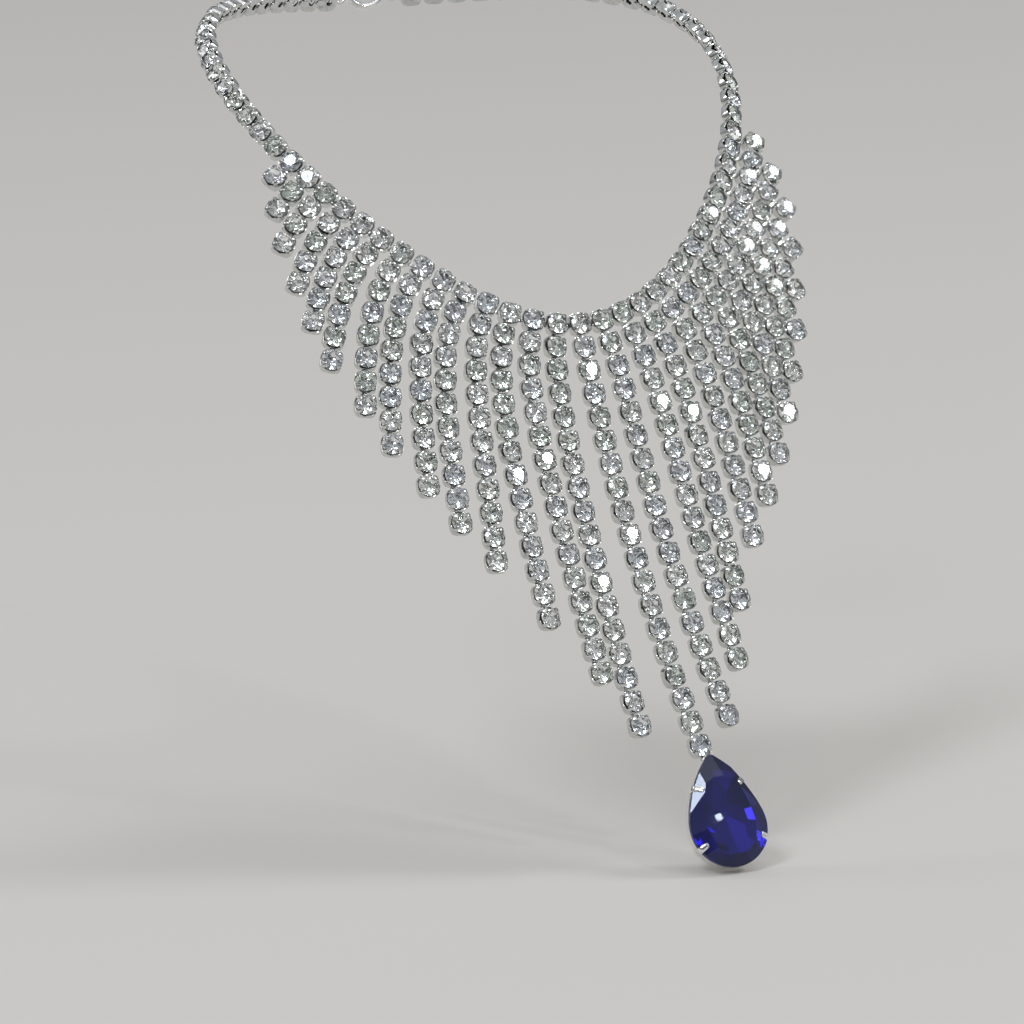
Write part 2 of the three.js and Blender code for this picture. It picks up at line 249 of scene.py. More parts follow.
# Rings of facets on the pear's back: count, turn in degrees, share of the plain slope from culet to
# girdle, degrees added to it. A share below 1 puts the ring's facets through the culet, the others
# start from the girdle's edge.
BACK_RINGS = (
    (6, -25.4, 0.813, 0.0),
    (21, 2.5, 1.0, 10.8),
    (18, -4.7, 1.0, 3.0),
)

# ------------------------------------------------------------------ camera

CAMERA_PLACE = (-662.7, -1484.4, 244.2)
CAMERA_AZIMUTH = -24.39
CAMERA_ELEVATION = 11.69
CAMERA_LENS = 258.35
CAMERA_SENSOR = 36
CAMERA_CLIP = (0.05, 50)  # metres

random = Random(20)


def add_camera():
    data = bpy.data.cameras.new("camera")
    data.lens = CAMERA_LENS
    data.sensor_width = CAMERA_SENSOR
    data.clip_start, data.clip_end = CAMERA_CLIP
    camera = bpy.data.objects.new("camera", data)
    bpy.context.scene.collection.objects.link(camera)
    back = facing(CAMERA_AZIMUTH, CAMERA_ELEVATION)
    camera.location = Vector(CAMERA_PLACE) * MM
    camera.rotation_euler = (-back).to_track_quat("-Z", "Y").to_euler()
    bpy.context.scene.camera = camera


# ------------------------------------------------------------------ directions and the neck loop


def facing(heading, rise):
    """A unit vector that faces the front at heading 0, turned towards +X, and rises above level."""
    turn, lift = radians(heading), radians(rise)
    return Vector((sin(turn) * cos(lift), -cos(turn) * cos(lift), sin(lift)))


def down_chest(lean):
    sideways, forward = radians(lean), radians(SLOPE)
    return Vector((sin(sideways), -cos(sideways) * sin(forward), -cos(sideways) * cos(forward)))


def lerp(a, b, t):
    return a + (b - a) * t


def smooth(t):
    t = min(1.0, max(0.0, t))
    return t * t * (3 - 2 * t)


def loop_point(angle):
    return Vector(
        (
            LOOP_HALF_WIDTH * sin(angle) + LOOP_SHOULDER * sin(3 * angle),
            -LOOP_HALF_DEPTH * cos(angle),
            -LOOP_RISE * cos(angle) - LOOP_SADDLE * cos(2 * angle),
        )
    )


def half_loop_lengths():
    """Lengths along the loop from the centre front, at even steps of the angle."""
    lengths = [0.0]
    before = loop_point(0)
    for step in range(1, LOOP_SAMPLES + 1):
        point = loop_point(pi * step / LOOP_SAMPLES)
        lengths.append(lengths[-1] + (point - before).length)
        before = point
    return lengths


LOOP_LENGTHS = half_loop_lengths()


def loop_angle(index):
    """The angle of a neck stone, counted from the centre front, positive towards +X."""
    length = abs(index) * STONE_PITCH
    step = min(bisect_left(LOOP_LENGTHS, length), LOOP_SAMPLES)
    if step == 0:
        return 0.0
    low, high = LOOP_LENGTHS[step - 1], LOOP_LENGTHS[step]
    angle = pi * (step - 1 + (length - low) / (high - low)) / LOOP_SAMPLES
    return angle if index > 0 else -angle


def placed(middle, along, front):
    """A local frame at middle, its Y along the chain and its Z as close to front as it can be."""
    y = along.normalized()
    z = (front - y * front.dot(y)).normalized()
    x = y.cross(z)
    return Matrix.Translation(middle) @ Matrix((x, y, z)).transposed().to_4x4()


def neck_frame(index):
    angle = loop_angle(index)
    along = loop_point(angle + LOOP_NUDGE) - loop_point(angle - LOOP_NUDGE)
    turn = degrees(angle)
    side = abs(turn) / 90
    heading = turn * min(1.0, side**NECK_HEADING_POWER)
    if side < 1:
        rise = lerp(FRINGE_RISE, NECK_SIDE_RISE, smooth(side))
    else:
        rise = lerp(NECK_SIDE_RISE, NECK_NAPE_RISE, smooth(side - 1))
    return placed(loop_point(angle), along, facing(heading, rise))


# ------------------------------------------------------------------ strands


def strand_stones(strand):
    place = abs(strand)
    if place == 0:
        return CENTRE_STRAND_STONES
    return max(CENTRE_STRAND_STONES + 1 - 2 * place, FRINGE_PER_SIDE + 1 - place)


def strand_step(strand, step):
    place = abs(strand)
    along = step + 0.5
    root_splay = SPLAY_LIMIT * place / (place + SPLAY_HALFWAY)
    fade = SPLAY_FADE * (1 + (place / SPLAY_SLOWDOWN) ** 2)
    splay = root_splay * exp(-along / fade) * (1 if strand > 0 else -1)
    lean, bow = STRAY.get(strand, (0, 0))
    lean += bow * (2 * along / strand_stones(strand) - 1)
    return down_chest(splay + lean)


def strand_frames(strand):
    """The frames of a strand's stones, each turned halfway between the steps beside it."""
    front = facing(FRINGE_HEADING * strand * abs(strand), FRINGE_RISE)
    count = strand_stones(strand)
    steps = [strand_step(strand, step) for step in range(count)]
    middle = loop_point(loop_angle(strand))
    frames = []
    for index, step in enumerate(steps):
        middle = middle + step * STONE_PITCH
        onward = steps[min(index + 1, count - 1)]
        frames.append(placed(middle, -(step + onward), front))
    return frames


# ------------------------------------------------------------------ meshes


class Mesh:
    """Points and faces in millimetres, joined from copies of others, with a shade for each copy."""

    def __init__(self):
        self.points = []
        self.faces = []
        self.slots = []
        self.shades = []

    def add(self, points, faces, slots=None, place=None, shade=0.5):
        start = len(self.points)
        place = place or Matrix.Identity(4)
        self.points.extend(place @ Vector(point) for point in points)
        self.faces.extend([start + corner for corner in face] for face in faces)
        self.slots.extend(slots or [0] * len(faces))
        self.shades.extend([shade] * len(points))

    def add_copy(self, other, place, shade=0.5):
        self.add(other.points, other.faces, other.slots, place, shade)

    def make(self, name, materials, sharp_angle=None):
        """The finished object, with flat faces unless an angle says which edges stay sharp."""
        data = bpy.data.meshes.new(name)
        data.from_pydata([point * MM for point in self.points], [], self.faces)
        for material in materials:
            data.materials.append(material)
        data.polygons.foreach_set("material_index", self.slots)
        shade = data.attributes.new("shade", "FLOAT", "POINT")
        shade.data.foreach_set("value", self.shades)
        if sharp_angle is None:
            data.shade_flat()
        else:
            data.shade_smooth()
            data.set_sharp_from_angle(angle=radians(sharp_angle))
        data.update()
        made = bpy.data.objects.new(name, data)
        bpy.context.scene.collection.objects.link(made)
        return made


def ring_faces(columns, rows, closed=True):
    """Quads of a grid of rows, each a ring of columns; closed joins the last row to the first."""
    faces = []
    for row in range(rows if closed else rows - 1):
        onward = (row + 1) % rows
        for column in range(columns):
            beside = (column + 1) % columns
            faces.append(
                (
                    row * columns + column,
                    row * columns + beside,
                    onward * columns + beside,
                    onward * columns + column,
                )
            )
    return faces


def stacked(rows):
    """Points and faces of a solid made of rings laid one on the next, closed at both ends."""
    columns = len(rows[0])
    points = [point for row in rows for point in row]
    faces = ring_faces(columns, len(rows), closed=False)
    faces.append(tuple(range(columns))[::-1])
    faces.append(tuple(range(len(points) - columns, len(points))))
    return points, faces


# ------------------------------------------------------------------ cut stones

PLANE_TOLERANCE = 1e-5
MERGE_DISTANCE = 1e-3
BACK_FACING = -0.05  # a face whose normal sinks below this is part of the back


def cut_stone(outline, bottom, top, planes):
    """A prism of the outline, cut by planes (point, outward direction); the last faces are cuts."""
    bm = bmesh.new()
    low = [bm.verts.new((x, y, bottom)) for x, y in outline]
    high = [bm.verts.new((x, y, top)) for x, y in outline]
    bm.faces.new(reversed(low))
    bm.faces.new(high)
    for index in range(len(outline)):
        beside = (index + 1) % len(outline)
        bm.faces.new((low[index], low[beside], high[beside], high[index]))
    for point, outward in planes:
        everything = bm.verts[:] + bm.edges[:] + bm.faces[:]
        cut = bmesh.ops.bisect_plane(
            bm,
            geom=everything,
            dist=PLANE_TOLERANCE,
            plane_co=point,
            plane_no=outward,
            clear_outer=True,
        )
        rim = [piece for piece in cut["geom_cut"] if isinstance(piece, bmesh.types.BMEdge)]
        if len(rim) > 2:
            bmesh.ops.contextual_create(bm, geom=rim)
    bmesh.ops.remove_doubles(bm, verts=bm.verts[:], dist=MERGE_DISTANCE)
    bmesh.ops.recalc_face_normals(bm, faces=bm.faces[:])
    return bm


def stone_mesh(bm, girdle_z):
    """The cut stone with its front and edge in slot 0 and its foiled back in slot 1."""
    bm.verts.index_update()
    mesh = Mesh()
    points = [vertex.co.copy() for vertex in bm.verts]
    faces = [[vertex.index for vertex in face.verts] for face in bm.faces]
    slots = []
    for face in bm.faces:
        behind = face.calc_center_median().z < girdle_z and face.normal.z < BACK_FACING
        slots.append(int(behind))
    mesh.add(points, faces, slots)
    bm.free()
    return mesh


def facet_plane(angle, slope, radius, z):
    """A plane that leans by slope from level and passes the given radius and height."""
    turn, lean = radians(angle), radians(slope)
    outward = Vector((cos(turn) * sin(abs(lean)), sin(turn) * sin(abs(lean)), cos(lean)))
    if slope < 0:
        outward.z = -outward.z
    return Vector((radius * cos(turn), radius * sin(turn), z)), outward


def round_stone():
    """A brilliant: 8 kites, 8 stars and 16 halves in front, and 8 kites and 16 halves behind."""
    radius = STONE_DIAMETER / 2
    low, high = STONE_GIRDLE
    crown = STONE_TABLE_Z - high
    kite_slope = degrees(atan2(crown, radius - STONE_TABLE_RADIUS))
    back_slope = degrees(atan2(low - STONE_CULET_Z, radius))
    star_slope = kite_slope - STAR_EASE
    star_radius = STONE_TABLE_RADIUS * cos(pi / 8) * STAR_INSET
    planes = []
    for index in range(8):
        planes.append(facet_plane(45 * index, kite_slope, radius, high))
        planes.append(facet_plane(45 * index, -back_slope, radius, low))
        planes.append(facet_plane(45 * index + 22.5, star_slope, star_radius, STONE_TABLE_Z))
    for index in range(16):
        angle = 22.5 * index + 11.25
        planes.append(facet_plane(angle, kite_slope + HALF_STEEPENING, radius, high))
        planes.append(facet_plane(angle, -back_slope - BACK_HALF_STEEPENING, radius, low))
    angles = [2 * pi * corner / GIRDLE_CORNERS for corner in range(GIRDLE_CORNERS)]
    outline = [(radius * cos(angle), radius * sin(angle)) for angle in angles]
    return stone_mesh(cut_stone(outline, STONE_CULET_Z, STONE_TABLE_Z, planes), low)


# ------------------------------------------------------------------ cups and links


def cup():
    """A stamped cup with four claws bent over the stone, and a hole in its base.

    Its inside is in slot 1, which takes a dark painted shade.
    """
    columns = CUP_COLUMNS
    mesh = Mesh()
    base_top = CUP_BASE_Z + CUP_WALL

    def plan(column, inset):
        angle = 2 * pi * column / columns
        spread = abs(cos(angle)) ** CUP_SQUARENESS + abs(sin(angle)) ** CUP_SQUARENESS
        radius = CUP_WIDTH / 2 / spread ** (1 / CUP_SQUARENESS) - inset
        return radius * cos(angle), radius * sin(angle)

    def ring(inset, z):
        return [(*plan(column, inset), z) for column in range(columns)]

    def rim(inset):
        points = []
        for column in range(columns):
            corner = abs(sin(4 * pi * column / columns))
            z = lerp(CUP_WALL_LOW_Z, CUP_WALL_HIGH_Z, corner**CUP_SCALLOP_POWER)
            points.append((*plan(column, inset), z))
        return points

    def hole(z):
        angles = [2 * pi * column / columns for column in range(columns)]
        return [(CUP_BASE_HOLE * cos(angle), CUP_BASE_HOLE * sin(angle), z) for angle in angles]

    fillet_in, fillet_up = CUP_INSIDE_CORNER
    rows = [
        hole(base_top),
        ring(CUP_WALL + fillet_in, base_top),
        ring(CUP_WALL, base_top + fillet_up),
        rim(CUP_WALL),
        rim(CUP_WALL * CUP_RIM_EDGE),
        rim(0),
        *[ring(inset, CUP_BASE_Z + height) for inset, height in CUP_FOOT],
        hole(CUP_BASE_Z),
    ]
    points = [point for row in rows for point in row]
    faces = [face[::-1] for face in ring_faces(columns, len(rows))]
    inside = 3 * columns  # the faces between the first four rows
    mesh.add(points, faces, [1] * inside + [0] * (len(faces) - inside))
    points, faces = bent_strip(CLAW_ROWS, CLAW_WIDTH, CLAW_THICKNESS)
    for index in range(4):
        mesh.add(points, faces, place=Matrix.Rotation(pi / 4 + pi / 2 * index, 4, "Z"))
    return mesh


def bent_strip(path, width, thickness):
    """A strip in the XZ plane, rounded across, its outside to +X.

    Its path has rows of x, z and share of the width. It is thinner at the end of the path.
    """
    rows = []
    last = len(path) - 1
    for index, (x, z, width_share) in enumerate(path):
        before = Vector(path[max(index - 1, 0)][:2])
        onward = Vector(path[min(index + 1, last)][:2])
        way = (onward - before).normalized()
        outward = Vector((way.y, -way.x))
        half = width * width_share / 2
        thick = thickness * (STRIP_TIP_THICKNESS if index == last else 1)
        row = []
        for share, lift in STRIP_SECTION:
            point = Vector((x, z)) + outward * thick * lift
            row.append((point.x, half * share, point.y))
        rows.append(row)
    return stacked(rows)


def bar(length, width, thickness, bevel):
    """A flat bar along Y with round ends and softened edges, its middle at the origin."""
    outline = []
    for end in (1, -1):
        for step in range(BAR_END_STEPS):
            angle = pi * step / (BAR_END_STEPS - 1) + (0 if end > 0 else pi)
            outline.append((cos(angle), sin(angle), end * (length - width) / 2))

    def ring(inset, z):
        radius = width / 2 - inset
        return [(radius * x, radius * y + middle, z) for x, y, middle in outline]

    half = thickness / 2
    rows = [ring(bevel, -half), ring(0, bevel - half), ring(0, half - bevel), ring(bevel, half)]
    return stacked(rows)


def add_link(mesh, first, second):
    """A link under two neighbouring cups."""
    depth = CUP_BASE_Z - LINK_THICKNESS / 2 + LINK_BITE
    a = first @ Vector((0, 0, depth))
    b = second @ Vector((0, 0, depth))
    front = first.col[2].to_3d() + second.col[2].to_3d()
    length = (b - a).length - STONE_PITCH + LINK_LENGTH
    points, faces = bar(length, LINK_WIDTH, LINK_THICKNESS, LINK_BEVEL)
    mesh.add(points, faces, place=placed((a + b) / 2, b - a, front), shade=random.random())


# ------------------------------------------------------------------ stretches of chain

CUP = cup()
ROUND_STONE = round_stone()


def add_stretch(node, frames, joins, cup_metals, glass, foil):
    """Replaces a tube of the frame by its cups and links, and by its stones."""
    cups, stones = Mesh(), Mesh()
    for place in frames:
        twist = Matrix.Rotation(radians(random.gauss(0, CUP_TWIST)), 4, "Z")
        roll = Matrix.Rotation(radians(random.gauss(0, CUP_ROLL)), 4, "Y")
        cup_place = place @ roll @ twist
        cups.add_copy(CUP, cup_place, random.random())
        tilt = Matrix.Rotation(radians(random.gauss(0, STONE_TILT)), 4, "X")
        lean = Matrix.Rotation(radians(random.gauss(0, STONE_TILT)), 4, "Y")
        spin = Matrix.Rotation(random.uniform(0, 2 * pi), 4, "Z")
        stones.add_copy(ROUND_STONE, cup_place @ tilt @ lean @ spin, random.random())
    for first, second in joins:
        add_link(cups, first, second)
    cup_piece = cups.make(f"cups_{node}", cup_metals, sharp_angle=CUP_SHARP_ANGLE)
    stone_piece = stones.make(f"stones_{node}", [glass, foil])
    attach(cup_piece, "root")
    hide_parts(node)
    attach(stone_piece, "root")
    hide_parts(node)


def add_neck(cup_metals, glass, foil):
    frames = {i: neck_frame(i) for i in range(-NECK_STONES_PER_SIDE, NECK_STONES_PER_SIDE + 1)}
    centre = range(-CENTRE_STONES_PER_SIDE, CENTRE_STONES_PER_SIDE + 1)
    stretches = {"neck_centre": list(centre)}
    for side, sign in (("left", -1), ("right", 1)):
        for number in range((NECK_STONES_PER_SIDE + STONES_PER_STRETCH - 1) // STONES_PER_STRETCH):
            start = CENTRE_STONES_PER_SIDE + 1 + number * STONES_PER_STRETCH
            end = min(start + STONES_PER_STRETCH, NECK_STONES_PER_SIDE + 1)
            stretches[f"neck_{side}_{number + 1}"] = [sign * i for i in range(start, end)]
    for node, indices in stretches.items():
        joins = []
        for index in indices:
            inner = index - 1 if index > 0 else index + 1
            if index != 0:
                joins.append((frames[index], frames[inner]))
        add_stretch(node, [frames[i] for i in indices], joins, cup_metals, glass, foil)


def add_fringe(cup_metals, glass, foil):
    for strand in range(-FRINGE_PER_SIDE, FRINGE_PER_SIDE + 1):
        side = "left" if strand < 0 else "right"
        node = f"fringe_{side}_{abs(strand):02d}" if strand else "fringe_centre"
        frames = strand_frames(strand)
        root = neck_frame(strand)
        root = placed(root.translation, -strand_step(strand, 0), root.col[2].to_3d())
        joins = list(zip([root, *frames], frames))
        add_stretch(node, frames, joins, cup_metals, glass, foil)


# ------------------------------------------------------------------ pear outline


class PearOutline:
    """A pear with its tip at the origin and its length along -Y."""

    def __init__(self):
        self.round = DROP_WIDTH / 2
        self.round_y = self.round - DROP_LENGTH
        self.angle = radians(DROP_SHOULDER_ANGLE)
        reach = -DROP_TIP_RADIUS - self.round_y
        excess = self.round - DROP_TIP_RADIUS
        rise = sin(self.angle)
        widening = (reach**2 - excess**2) / (2 * (excess - reach * rise))
        self.side = self.round + widening
        self.side_x = -widening * cos(self.angle)
        self.side_y = self.round_y - widening * rise
        self.shoulder_y = self.round_y + self.round * rise
        self.tip_angle = atan2(-DROP_TIP_RADIUS - self.side_y, -self.side_x)

    def at(self, y):
        """The point of the +X half at a height, and the outward way there."""
        on_side = y > self.shoulder_y
        centre = Vector((self.side_x, self.side_y) if on_side else (0, self.round_y))
        radius = self.side if on_side else self.round
        x = centre.x + sqrt(max(0, radius**2 - (y - centre.y) ** 2))
        return Vector((x, y)), (Vector((x, y)) - centre).normalized()

    def points(self, tip_steps, side_steps, round_steps):
        """Points all round, from the tip down the +X side and back up the other."""
        half = []
        for step in range(1, tip_steps):
            angle = lerp(pi / 2, self.tip_angle, step / tip_steps)
            half.append((DROP_TIP_RADIUS * cos(angle), DROP_TIP_RADIUS * (sin(angle) - 1)))
        for step in range(side_steps):
            angle = lerp(self.tip_angle, self.angle, step / side_steps)
            x = self.side_x + self.side * cos(angle)
            half.append((x, self.side_y + self.side * sin(angle)))
        for step in range(round_steps):
            angle = lerp(self.angle, -pi / 2, step / round_steps)
            half.append((self.round * cos(angle), self.round_y + self.round * sin(angle)))
        return [(0.0, 0.0), *half, (0.0, -DROP_LENGTH), *[(-x, y) for x, y in reversed(half)]]


PEAR = PearOutline()

# ------------------------------------------------------------------ drop

GIRDLE_Z = DROP_CUP_DEPTH + DROP_SEAT_RISE
DROP_TOP_Z = GIRDLE_Z + DROP_GIRDLE
TABLE_Z = DROP_TOP_Z + DROP_CROWN
SHARP_ANGLE = 35  # of the cast pieces: the setting of the drop, and the clasp


def drop_place():
    last_step = strand_step(0, CENTRE_STRAND_STONES - 1)
    strand_end = strand_frames(0)[-1].translation + last_step * STRAND_END
    slope = Matrix.Rotation(radians(90 - DROP_SLOPE), 4, "X")
    turn = slope @ Matrix.Rotation(radians(DROP_LEAN), 4, "Z")
    shift = Matrix.Translation((0, -DROP_LINK_GAP - DROP_LINK_TOP, -DROP_CUP_DEPTH / 2))
    return Matrix.Translation(strand_end) @ turn @ shift


def support(outline, outward):
    return max(Vector(point).dot(outward) for point in outline)


def crown_planes():
    """The planes (point, outward direction) through the edges of the pear's table."""
    outline = PEAR.points(*PEAR_STONE_STEPS)
    corners = [*TABLE_CORNERS, *[(-x, y) for x, y in reversed(TABLE_CORNERS)]]
    planes = []
    for index, corner in enumerate(corners):
        onward = Vector(corners[(index + 1) % len(corners)])
        edge = onward - Vector(corner)
        way = Vector((-edge.y, edge.x)).normalized()
        if way.dot(Vector(corner) - Vector(TABLE_INSIDE)) < 0:
            way = -way
        inset = support(outline, way) - Vector(corner).dot(way)
        slope = atan2(DROP_CROWN, inset)
        planes.append((Vector((*corner, TABLE_Z)), Vector((*(way * sin(slope)), cos(slope)))))
    return planes


def crown_height(planes, place):
    """How high the pear's front stands at a point of its plan."""
    heights = [TABLE_Z]
    for point, outward in planes:
        heights.append(point.z - outward.to_2d().dot(place - point.to_2d()) / outward.z)
    return min(heights)


def pear_stone():
    """A cut pear: planes through the edges of its table, and rings of facets on its back."""
    outline = PEAR.points(*PEAR_STONE_STEPS)[::-1]
    planes = crown_planes()
    culet = Vector((0, CULET_Y, GIRDLE_Z - DROP_PAVILION))
    for count, turn, share, added in BACK_RINGS:
        for index in range(count):
            angle = radians(turn) + 2 * pi * (index + 0.5) / count
            way = Vector((cos(angle), sin(angle)))
            edge = support(outline, way)
            slope = atan2(DROP_PAVILION, edge - culet.to_2d().dot(way)) * share + radians(added)
            through = culet if share < 1 else Vector((*(way * edge), GIRDLE_Z))
            planes.append((through, Vector((*(way * sin(slope)), -cos(slope)))))
    return stone_mesh(cut_stone(outline, culet.z + CULET_FLAT, TABLE_Z, planes), GIRDLE_Z)


def pear_cup():
    """The cup of the pear, its rim and foot rounded, with a sunk panel in its back."""
    outline = PEAR.points(*PEAR_CUP_STEPS)
    centre = Vector((0, PEAR.round_y))
    inner = 1 - 2 * DROP_WALL / DROP_WIDTH
    foot = DROP_CUP_FOOT
    side_share, side_height = DROP_SIDE_FOOT
    rows = (
        (0.0, DROP_WALL),
        (foot * inner, DROP_WALL),
        (inner, DROP_CUP_DEPTH - DROP_WALL),
        *[(lerp(inner, 1, share), DROP_CUP_DEPTH - below) for share, below in DROP_RIM],
        (1, DROP_CUP_DEPTH - DROP_RIM_EDGE),
        (lerp(foot, 1, side_share), side_height),
        *[(foot * share, height) for share, height in DROP_FOOT],
        (0.0, DROP_PANEL_DEPTH),
    )
    mesh = Mesh()
    points = []
    for share, z in rows:
        for point in outline:
            plan = centre.lerp(Vector(point), share)
            points.append((plan.x, plan.y, z))
    mesh.add(points, ring_faces(len(outline), len(rows), closed=False))
    return mesh


def add_prongs(mesh):
    """Four strips up the side of the cup, bent over the edge of the pear and laid on its front."""
    planes = crown_planes()
    for share in PRONG_PLACES:
        point, outward = PEAR.at(-share * DROP_LENGTH)
        edge = crown_height(planes, point)
        path = [*PRONG_SIDE, *[(out, edge + above, width) for out, above, width in PRONG_BEND]]
        for reach_share, width in PRONG_TONGUE:
            reach = reach_share * PRONG_REACH
            height = crown_height(planes, point - outward * reach) + PRONG_LIFT
            path.append((-reach, height, width))
        points, faces = bent_strip(path, PRONG_WIDTH, PRONG_THICKNESS)
        for sign in (1, -1):
            shift = Matrix.Translation((sign * point.x, point.y, 0))
            turn = Matrix.Rotation(atan2(outward.y, sign * outward.x), 4, "Z")
            mesh.add(points, faces, place=shift @ turn, shade=random.random())


def add_drop(metal, glass, foil):
    place = drop_place()
    local = pear_cup()
    add_prongs(local)
    setting = Mesh()
    setting.add_copy(local, place)
    length = DROP_LINK_TOP + DROP_WALL + DROP_LINK_INSIDE
    points, faces = bar(length, DROP_LINK_WIDTH, DROP_LINK_THICKNESS, DROP_LINK_BEVEL)
    shift = Matrix.Translation((0, DROP_LINK_TOP - length / 2, DROP_LINK_MIDDLE))
    setting.add(points, faces, place=place @ shift)
    setting_piece = setting.make("drop_cup", [metal], sharp_angle=SHARP_ANGLE)
    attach(setting_piece, "root")
    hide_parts("drop_setting")
    stone = Mesh()
    stone.add_copy(pear_stone(), place)
    stone_piece = stone.make("drop_pear", [glass, foil])
    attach(stone_piece, "root")
    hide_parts("drop_stone")


# ------------------------------------------------------------------ clasp

# The lobster claw: half its length and half its width, then the same of its hole.
LOBSTER_HALF = (5.2, 3.0)
LOBSTER_HOLE = (3.0, 1.4)
LOBSTER_DEPTH = 2.4
LOBSTER_THIN_END = 0.72  # share of the depth
LOBSTER_STEPS = 48

LEVER_SIZE = (3.4, 0.9, 0.8, 0.2)  # length, width, thickness, bevel
LEVER_BACK = 0.6
LEVER_OUT = 0.55  # from the middle of the claw's side
LEVER_TURN = 0.12  # radians

CLASP_RING_WIDTH = 1.0
CLASP_RING_HALF_DEPTH = 0.55
CLASP_RING_STEPS = 32
CLASP_GAP = 0.3
SECTION_STEPS = 12


def swept_ring(half_x, half_y, section, steps):
    """A ring round an ellipse; section(angle) gives half its width and half its depth there."""
    points = []
    for step in range(steps):
        angle = 2 * pi * step / steps
        middle = Vector((half_x * cos(angle), half_y * sin(angle), 0))
        outward = Vector((cos(angle) / half_x, sin(angle) / half_y, 0)).normalized()
        width, depth = section(angle)
        for turn in range(SECTION_STEPS):
            around = 2 * pi * turn / SECTION_STEPS
            shift = outward * width * cos(around) + Vector((0, 0, depth * sin(around)))
            points.append(middle + shift)
    return points, ring_faces(SECTION_STEPS, steps)


def add_clasp(metal):
    """A lobster claw with its lever, between the eye and the ring that join it to the chain."""
    place = Matrix.Translation(loop_point(pi)) @ Matrix.Rotation(pi / 2, 4, "X")
    free = 2 * LOOP_LENGTHS[-1] - 2 * (NECK_STONES_PER_SIDE * STONE_PITCH + CHAIN_RADIUS)
    half_length = free / 2 - CLASP_GAP
    mesh = Mesh()
    middle = [(outer + hole) / 2 for outer, hole in zip(LOBSTER_HALF, LOBSTER_HOLE)]
    wide = [(outer - hole) / 2 for outer, hole in zip(LOBSTER_HALF, LOBSTER_HOLE)]

    def body(angle):
        swell = 0.5 + 0.5 * cos(angle)
        width = lerp(wide[1], wide[0], cos(angle) ** 2)
        return width, LOBSTER_DEPTH / 2 * lerp(LOBSTER_THIN_END, 1.0, swell)

    def round_wire(angle):
        return CLASP_RING_WIDTH / 2, CLASP_RING_HALF_DEPTH

    points, faces = swept_ring(*middle, body, LOBSTER_STEPS)
    mesh.add(points, faces, place=place)
    points, faces = bar(*LEVER_SIZE)
    shift = Matrix.Translation((-LEVER_BACK, middle[1] + LEVER_OUT, 0))
    lever = shift @ Matrix.Rotation(pi / 2 + LEVER_TURN, 4, "Z")
    mesh.add(points, faces, place=place @ lever)
    eye = (2 * half_length - 2 * LOBSTER_HALF[0] + CLASP_RING_WIDTH) / 4
    radius = eye - CLASP_RING_WIDTH / 2
    points, faces = swept_ring(radius, radius, round_wire, CLASP_RING_STEPS)
    for side in (-1, 1):
        shift = Matrix.Translation((side * (half_length - eye), 0, 0))
        mesh.add(points, faces, place=place @ shift)
    piece = mesh.make("clasp_claw_and_rings", [metal], sharp_angle=SHARP_ANGLE)
    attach(piece, "root")
    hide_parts("clasp")


# ------------------------------------------------------------------ materials


def new_material(name):
    material = bpy.data.materials.new(name)
    material.use_nodes = True
    tree = material.node_tree
    return material, tree, tree.nodes["Principled BSDF"]


def noise(tree, scale, detail, space="Object"):
    """Noise with scale patches to the metre, or to the unit of another space."""
    coordinates = tree.nodes.new("ShaderNodeTexCoord")
    texture = tree.nodes.new("ShaderNodeTexNoise")
    texture.inputs["Scale"].default_value = scale
    texture.inputs["Detail"].default_value = detail
    tree.links.new(coordinates.outputs[space], texture.inputs["Vector"])
    return texture.outputs["Fac"]


def ramp(tree, source, *stops):
    """A colour ramp over source; each stop is (place, colour)."""
    node = tree.nodes.new("ShaderNodeValToRGB")
    while len(node.color_ramp.elements) < len(stops):
        node.color_ramp.elements.new(0.5)
    for element, (place, colour) in zip(node.color_ramp.elements, stops):
        element.position = place
        element.color = (*colour, 1)
    tree.links.new(source, node.inputs["Fac"])
    return node.outputs["Color"]


def spread(tree, source, low, high):
    """source, from 0.3 to 0.7, spread from low to high."""
    node = tree.nodes.new("ShaderNodeMapRange")
    node.inputs["From Min"].default_value = 0.3
    node.inputs["From Max"].default_value = 0.7
    node.inputs["To Min"].default_value = low
    node.inputs["To Max"].default_value = high
    tree.links.new(source, node.inputs["Value"])
    return node.outputs["Result"]


def bump(tree, source, shader, distance):
    """Fine relief of source, with its full height in metres."""
    node = tree.nodes.new("ShaderNodeBump")
    node.inputs["Distance"].default_value = distance
    node.inputs["Strength"].default_value = 1
    tree.links.new(source, node.inputs["Height"])
    tree.links.new(node.outputs["Normal"], shader.inputs["Normal"])


def shade_attribute(tree):
    """The number from 0 to 1 that each stone has for its own."""
    node = tree.nodes.new("ShaderNodeAttribute")
    node.attribute_name = "shade"
    return node.outputs["Fac"]


def silver_material(name, dull, bright, rough):
    """Plate between a dull and a bright colour: fine polishing waves and duller patches."""
    material, tree, shader = new_material(name)
    shader.inputs["Metallic"].default_value = 1
    patches = noise(tree, 900, 3)
    colour = ramp(tree, patches, (0.3, dull), (0.55, bright))
    tree.links.new(colour, shader.inputs["Base Color"])
    tree.links.new(spread(tree, patches, rough * 1.7, rough * 0.7), shader.inputs["Roughness"])
    bump(tree, noise(tree, 2600, 2), shader, 0.00002)
    return material


